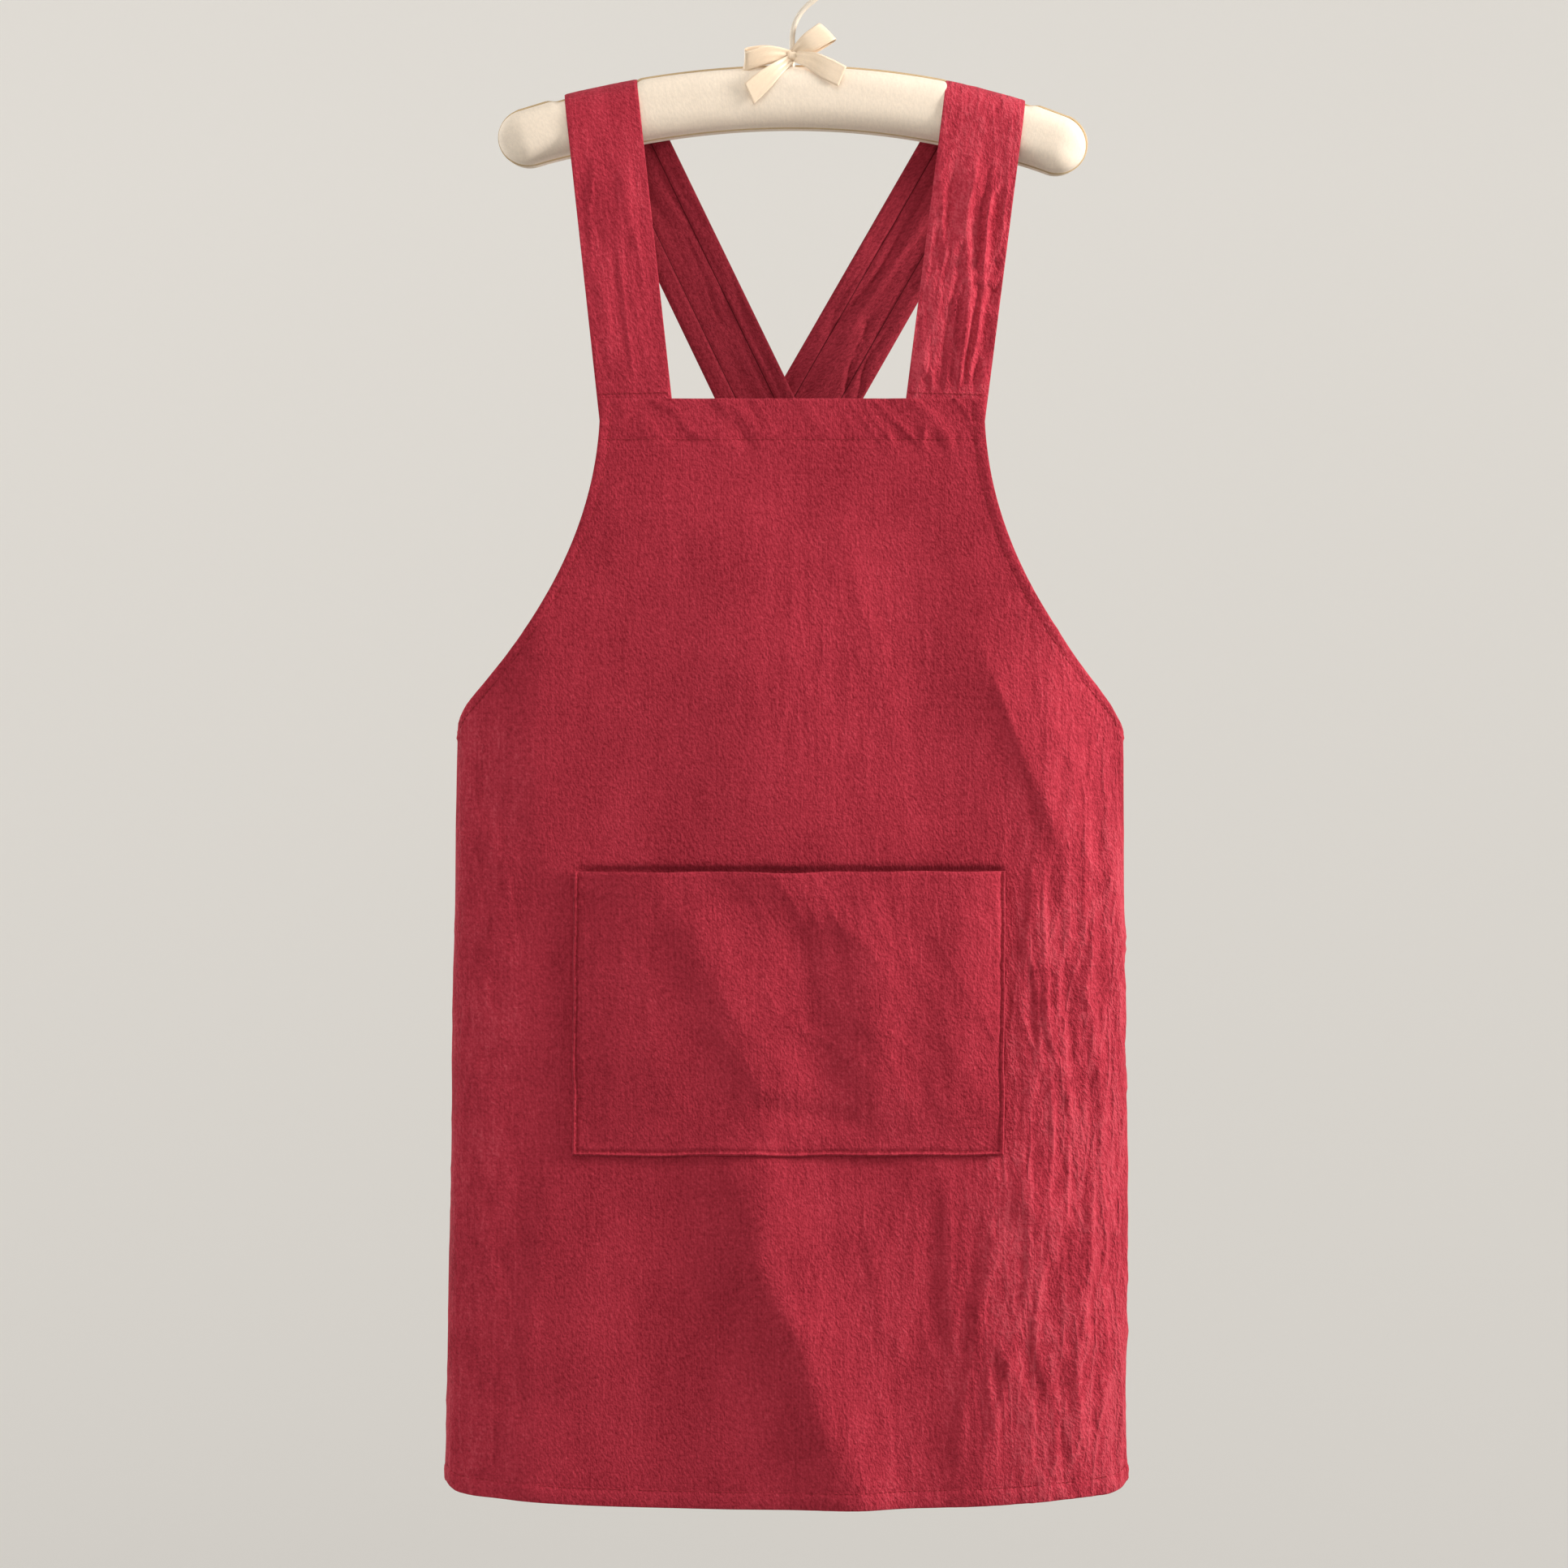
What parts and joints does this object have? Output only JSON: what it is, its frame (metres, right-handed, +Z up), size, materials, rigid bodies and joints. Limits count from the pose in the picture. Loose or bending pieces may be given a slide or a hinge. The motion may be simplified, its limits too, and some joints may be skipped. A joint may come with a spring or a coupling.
{
  "type": "kitchen apron on a padded hanger",
  "caption": "Cross-back bib apron of wine-red cloth with a front pocket and wide shoulder straps that cross behind, hanging on a cream padded hanger with a wire hook and ribbon bow.",
  "frame": {"origin": "the inside top of the hanger's hook, where it rests on a rail or peg", "axes": "+Z up along the hook's stem; the apron's front faces -Y; +X to the right as seen from the front"},
  "size_m": [0.4368, 0.0631, 0.9995],
  "materials": {
    "apron_cloth": "washed, slightly crinkled plain weave, matt",
    "hanger_cloth": "smooth padded cotton, matt",
    "piping_cord": "thin corded edge, slightly shiny",
    "hook_enamel": "cream enamelled wire",
    "ribbon_satin": "satin ribbon"
  },
  "bodies": {
    "root": {"apron_body": "apron_cloth", "bib_facing": "apron_cloth", "pocket": "apron_cloth", "strap_left": "apron_cloth", "strap_right": "apron_cloth", "hanger_pad": "hanger_cloth", "hanger_piping": "piping_cord", "hanger_hook": "hook_enamel", "hanger_bow": "ribbon_satin"}
  },
  "joints": []
}
